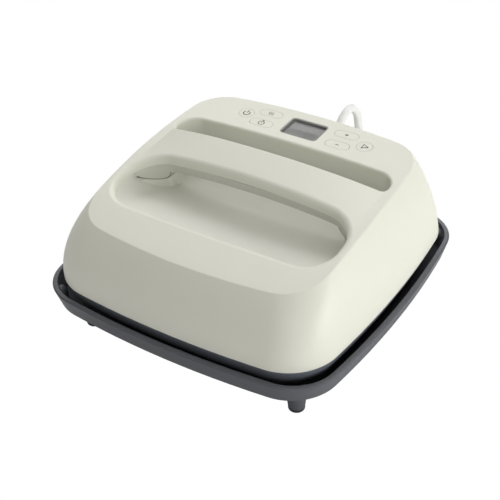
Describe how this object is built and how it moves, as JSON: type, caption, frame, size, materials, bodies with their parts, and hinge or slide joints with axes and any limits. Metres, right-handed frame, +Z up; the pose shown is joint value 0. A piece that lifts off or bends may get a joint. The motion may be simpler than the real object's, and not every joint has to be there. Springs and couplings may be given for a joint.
{
  "type": "handheld heat press",
  "caption": "Square handheld heat press with a scooped hand pocket under an arched handle, a sloped key and display panel and a dark safety base.",
  "frame": {"origin": "on the floor under the middle of the safety base", "axes": "+Z up, -Y towards the user (the pocket's side), +X to the user's right"},
  "size_m": [0.322, 0.4052, 0.1422],
  "materials": {
    "shell_plastic": "satin pale warm grey-green ABS, finely textured",
    "base_plastic": "satin dark blue-grey, finely textured",
    "skirt_plastic": "matt dark blue-grey heat-resistant plastic",
    "rubber": "soft matt black rubber",
    "silicone": "matt grey silicone",
    "plate": "cast aluminium with a dark grey non-stick pressing face",
    "sheath": "heat-tinted steel sheath",
    "blanket": "off-white ceramic fibre",
    "sheet_steel": "plain sheet steel",
    "ceramic": "glazed white ceramic",
    "screw_steel": "zinc-plated steel",
    "board": "green glass-epoxy board",
    "black_plastic": "black moulded plastic",
    "clear_window": "clear smoked pane, gloss",
    "display": "grey liquid-crystal display, off",
    "cord_jacket": "satin white PVC",
    "pin_brass": "plain brass"
  },
  "bodies": {
    "base": {"base_tray": "base_plastic", "foot_pads": "rubber", "rest_pads": "silicone", "cord_coil": "cord_jacket", "mains_plug": "cord_jacket", "plug_pins": "pin_brass"},
    "press": {"top_housing": "shell_plastic", "pocket_liner": "shell_plastic", "handle_grip": "shell_plastic", "lower_skirt": "skirt_plastic", "heat_plate": "plate", "heating_element": "sheath", "insulation_blanket": "blanket", "heat_shield": "sheet_steel", "plate_standoffs": "ceramic", "plate_screws": "screw_steel", "housing_screws": "screw_steel", "temperature_sensor": "ceramic", "thermal_fuse": "screw_steel", "control_board": "board", "key_switches": "black_plastic", "lcd_frame": "black_plastic", "lcd_window": "clear_window", "lcd_module": "display", "board_screws": "screw_steel", "power_board": "board", "power_parts": "black_plastic", "strain_relief": "cord_jacket", "cord_tube": "cord_jacket"},
    "power_key": {"power_button": "shell_plastic", "power_plunger": "black_plastic"},
    "temperature_key": {"temperature_button": "shell_plastic", "temperature_plunger": "black_plastic"},
    "timer_key": {"timer_button": "shell_plastic", "timer_plunger": "black_plastic"},
    "plus_key": {"plus_button": "shell_plastic", "plus_plunger": "black_plastic"},
    "minus_key": {"minus_button": "shell_plastic", "minus_plunger": "black_plastic"},
    "start_key": {"start_button": "shell_plastic", "start_plunger": "black_plastic"}
  },
  "joints": [
    {"name": "press_lift", "type": "slide", "parent": "base", "child": "press", "axis": [0, 0, 1], "range_m": [0, 0.1]},
    {"name": "power_key_travel", "type": "slide", "parent": "press", "child": "power_key", "axis": [0, 0.0529, -0.9986], "range_m": [0, 0.0006], "stiffness_N_per_m": 3000},
    {"name": "temperature_key_travel", "type": "slide", "parent": "press", "child": "temperature_key", "axis": [0, 0.0529, -0.9986], "range_m": [0, 0.0006], "stiffness_N_per_m": 3000},
    {"name": "timer_key_travel", "type": "slide", "parent": "press", "child": "timer_key", "axis": [0, 0.0529, -0.9986], "range_m": [0, 0.0006], "stiffness_N_per_m": 3000},
    {"name": "plus_key_travel", "type": "slide", "parent": "press", "child": "plus_key", "axis": [0, 0.0529, -0.9986], "range_m": [0, 0.0006], "stiffness_N_per_m": 3000},
    {"name": "minus_key_travel", "type": "slide", "parent": "press", "child": "minus_key", "axis": [0, 0.0529, -0.9986], "range_m": [0, 0.0006], "stiffness_N_per_m": 3000},
    {"name": "start_key_travel", "type": "slide", "parent": "press", "child": "start_key", "axis": [0, 0.0529, -0.9986], "range_m": [0, 0.0006], "stiffness_N_per_m": 3000}
  ]
}
